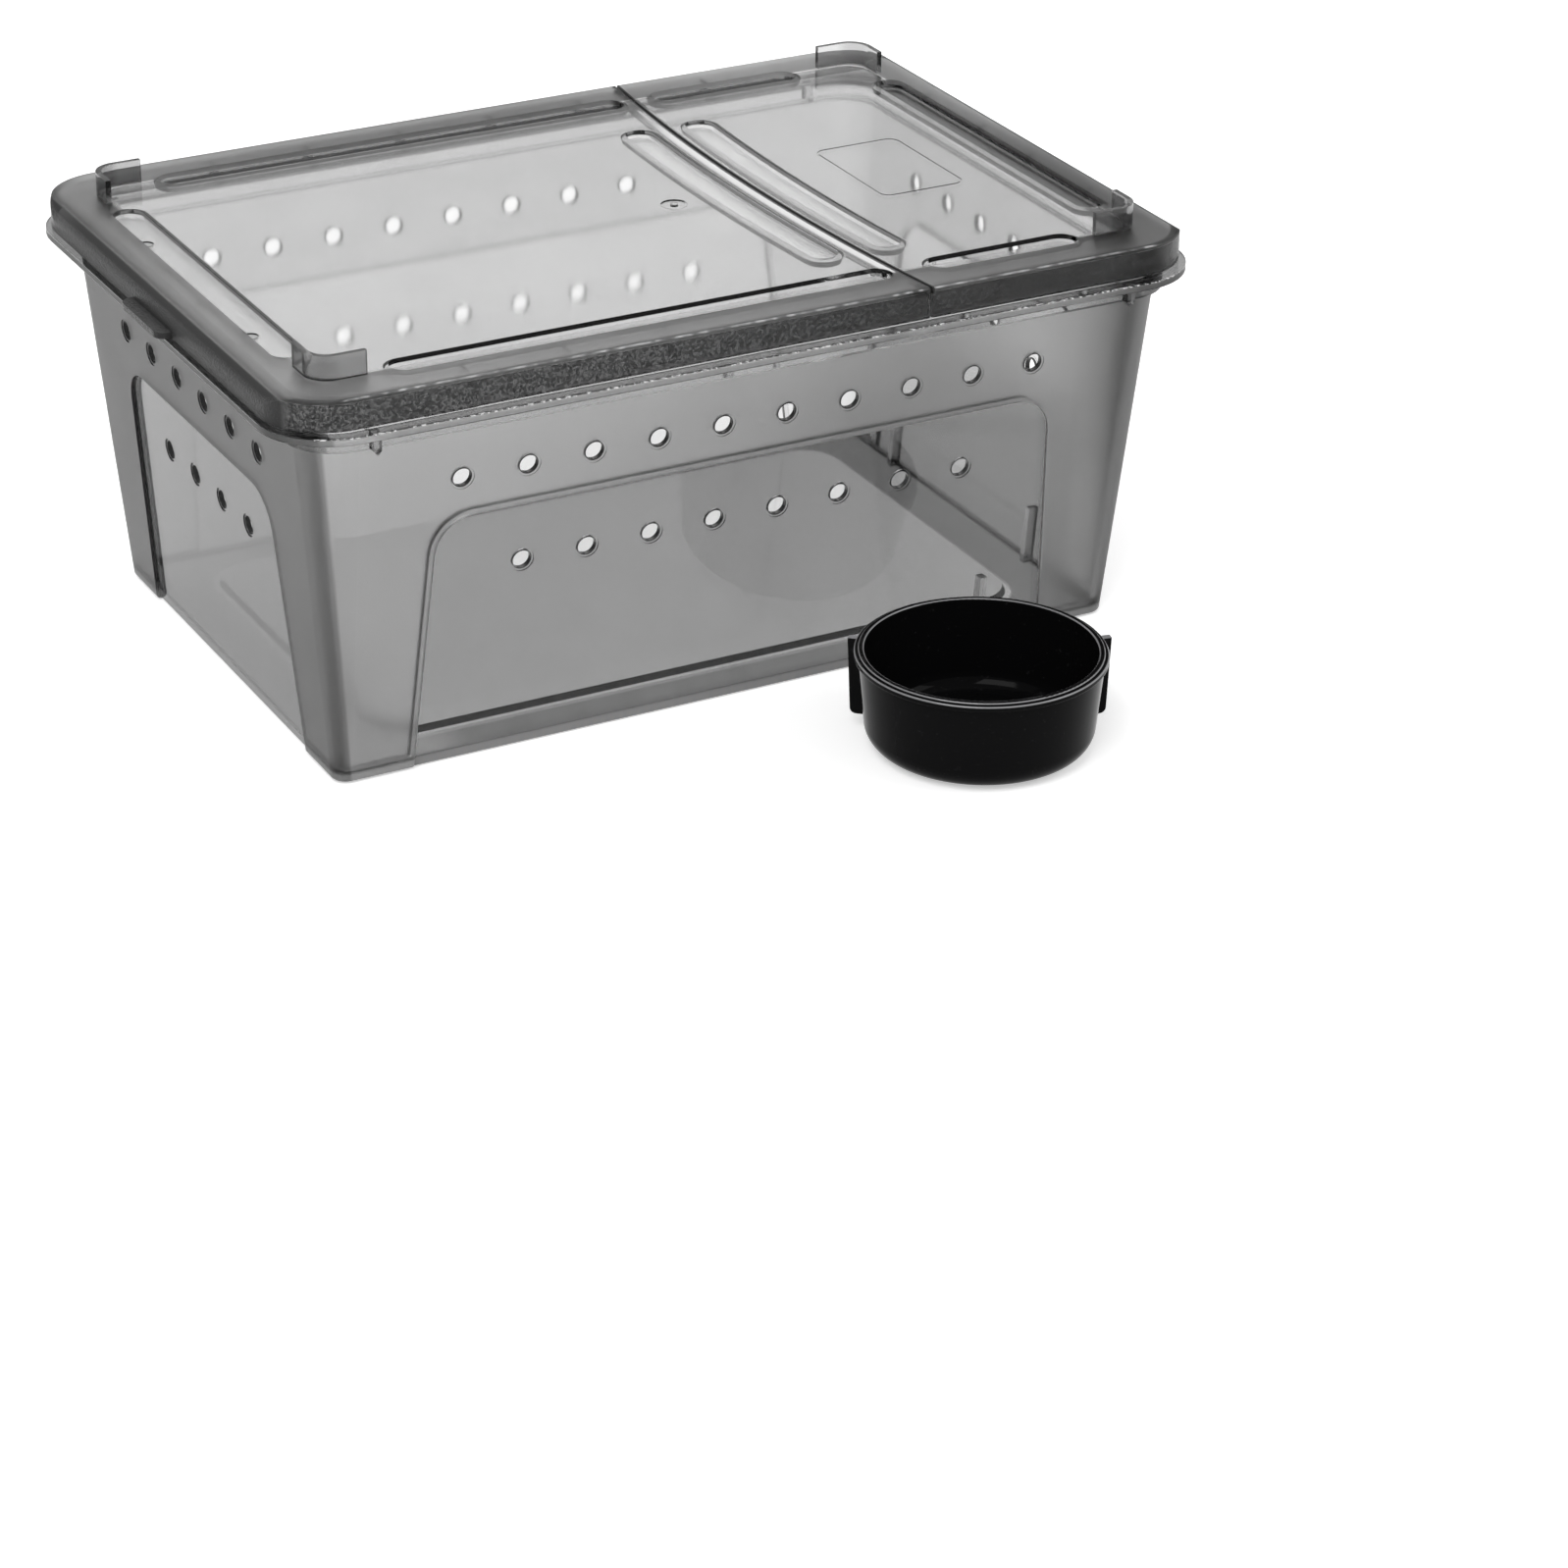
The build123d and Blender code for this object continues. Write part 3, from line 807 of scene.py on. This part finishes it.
class TERRARIUM_OT_bowl(bpy.types.Operator):
    """Finish the black food bowl"""

    bl_idname = "terrarium.bowl"
    bl_label = "Food bowl"

    def execute(self, context):
        settings = look()
        tree = Tree("black_bowl")
        coords, x, y, z = tree.position()
        blotches = tree.noise(coords, *BOWL_BLOTCHES)
        fine = tree.noise(coords, *BOWL_GRAIN)
        scuffs = tree.ramp(tree.noise(coords, *BOWL_SCUFFS), 0.62, 0.74)
        rough = tree.ramp(blotches, 0.3, 0.7, 0.05, 0.10)

        # The turned edges of the rim get a painted highlight in their colour, and a higher
        # specular level that really mirrors the light
        radius = tree.length(tree.minus(x, BOWL_X), tree.minus(y, BOWL_Y))
        outer_edges = [
            tree.all_of(tree.above(radius, edge, 0.1), tree.above(z, height, 0.1))
            for edge, height in BOWL_OUTER_EDGES
        ]
        edge, height = BOWL_INNER_EDGE
        inner_edge = tree.all_of(tree.below(radius, edge, 0.1), tree.above(z, height, 0.1))
        shine = tree.either(*outer_edges, inner_edge)
        tree.shader(
            Base_Color=tree.mix_colour(
                tree.either(tree.times(scuffs, 0.04), tree.times(shine, 0.6)),
                colour(settings.bowl_colour),
                colour(settings.bowl_scuff_and_highlight_colour),
            ),
            Roughness=tree.add(rough, tree.times(scuffs, 0.12)),
            IOR=BOWL_IOR,
            Specular_IOR_Level=tree.ramp(shine, 0.0, 1.0, 0.035, 0.5),
            Normal=tree.bump(fine, 0.05, BOWL_GRAIN_HEIGHT),
        )
        dress("feeding_bowl", tree.material)
        return {"FINISHED"}


def pale_floor(size):
    """Floor that is white to the camera, to reflections and through the plastic.

    It keeps the object's shadow.
    """
    tree = Tree("pale_floor")
    path = tree.nodes.new("ShaderNodeLightPath")
    seen = tree.either(path.outputs["Is Camera Ray"], path.outputs["Is Glossy Ray"])
    tree.shader(
        Base_Color=colour((FLOOR_GREY,) * 3),
        Roughness=0.9,
        Specular_IOR_Level=0.0,
        Emission_Color=(1.0, 1.0, 1.0, 1.0),
        Emission_Strength=tree.either(
            tree.times(seen, FLOOR_GLOW), path.outputs["Is Transmission Ray"]
        ),
    )
    mesh = bpy.data.meshes.new("pale_floor")
    bm = bmesh.new()
    bmesh.ops.create_grid(bm, x_segments=1, y_segments=1, size=size / 2)
    bmesh.ops.translate(bm, verts=bm.verts, vec=(0.0, 0.0, -FLOOR_DROP))
    bm.to_mesh(mesh)
    bm.free()
    mesh.materials.append(tree.material)
    floor = bpy.data.objects.new("pale_floor", mesh)
    bpy.context.scene.collection.objects.link(floor)
    return floor


def studio_world():
    """White to the camera and through the plastic, softer as a light."""
    world = bpy.data.worlds.new("studio_white")
    world.use_nodes = True
    nodes, links = world.node_tree.nodes, world.node_tree.links
    background = nodes["Background"]
    path = nodes.new("ShaderNodeLightPath")
    seen = nodes.new("ShaderNodeMath")
    seen.operation = "MAXIMUM"
    links.new(path.outputs["Is Camera Ray"], seen.inputs[0])
    links.new(path.outputs["Is Transmission Ray"], seen.inputs[1])
    strength = nodes.new("ShaderNodeMapRange")
    links.new(seen.outputs[0], strength.inputs["Value"])
    strength.inputs["To Min"].default_value = WORLD_LIGHT
    strength.inputs["To Max"].default_value = 1.0
    links.new(strength.outputs[0], background.inputs["Strength"])
    background.inputs["Color"].default_value = (1.0, 1.0, 1.0, 1.0)
    return world


def area_lamp(name, place, sides, watts):
    data = bpy.data.lights.new(name, "AREA")
    data.shape = "RECTANGLE"
    data.size, data.size_y = sides
    data.energy = watts
    lamp = bpy.data.objects.new(name, data)
    lamp.location = place
    lamp.rotation_euler = (LAMP_TARGET - Vector(place)).to_track_quat("-Z", "Y").to_euler()
    bpy.context.scene.collection.objects.link(lamp)


def photo_camera(settings):
    """Camera at the photograph's viewing angle."""
    azimuth = settings.camera_azimuth
    elevation = settings.camera_elevation
    away = Vector(
        (sin(azimuth) * cos(elevation), -cos(azimuth) * cos(elevation), sin(elevation))
    )
    data = bpy.data.cameras.new("photo_camera")
    data.lens = settings.focal_length
    data.sensor_width = SENSOR_WIDTH
    data.shift_x, data.shift_y = CAMERA_SHIFT
    data.clip_end = CAMERA_REACH
    camera = bpy.data.objects.new("photo_camera", data)
    camera.location = CAMERA_TARGET + away * settings.camera_distance
    camera.rotation_euler = away.to_track_quat("Z", "Y").to_euler()
    bpy.context.scene.collection.objects.link(camera)
    return camera


class TERRARIUM_OT_stage(bpy.types.Operator):
    """Pale floor, soft light and the camera"""

    bl_idname = "terrarium.stage"
    bl_label = "Stage"

    def execute(self, context):
        scene = context.scene
        settings = scene.terrarium_stage
        floor = pale_floor(settings.floor_size)
        scene.world = studio_world()
        for lamp in LAMPS:
            area_lamp(*lamp)
        scene.camera = photo_camera(settings)
        scene.view_settings.view_transform = "Standard"
        return {"FINISHED"}


OPERATORS = (
    TERRARIUM_OT_stage,
    TERRARIUM_OT_tub,
    TERRARIUM_OT_lid,
    TERRARIUM_OT_bowl,
)


class TERRARIUM_PT_panel(bpy.types.Panel):
    """Lists the terrarium's pieces and their settings"""

    bl_idname = "TERRARIUM_PT_panel"
    bl_label = "Terrarium"
    bl_space_type = "VIEW_3D"
    bl_region_type = "UI"
    bl_category = "Terrarium"

    def draw(self, context):
        layout = self.layout
        for operator in OPERATORS:
            layout.operator(operator.bl_idname)
        for settings in (context.scene.terrarium_look, context.scene.terrarium_stage):
            for name in settings.bl_rna.properties.keys():
                if name not in {"name", "rna_type"}:
                    layout.prop(settings, name)


CLASSES = (TerrariumLook, TerrariumStage, *OPERATORS, TERRARIUM_PT_panel)


def register():
    for item in CLASSES:
        bpy.utils.register_class(item)
    bpy.types.Scene.terrarium_look = PointerProperty(type=TerrariumLook)
    bpy.types.Scene.terrarium_stage = PointerProperty(type=TerrariumStage)


def unregister():
    del bpy.types.Scene.terrarium_stage
    del bpy.types.Scene.terrarium_look
    for item in reversed(CLASSES):
        bpy.utils.unregister_class(item)


def main():
    register()
    for operator in OPERATORS:
        space, name = operator.bl_idname.split(".")
        getattr(getattr(bpy.ops, space), name)()


if __name__ == "__main__":
    main()
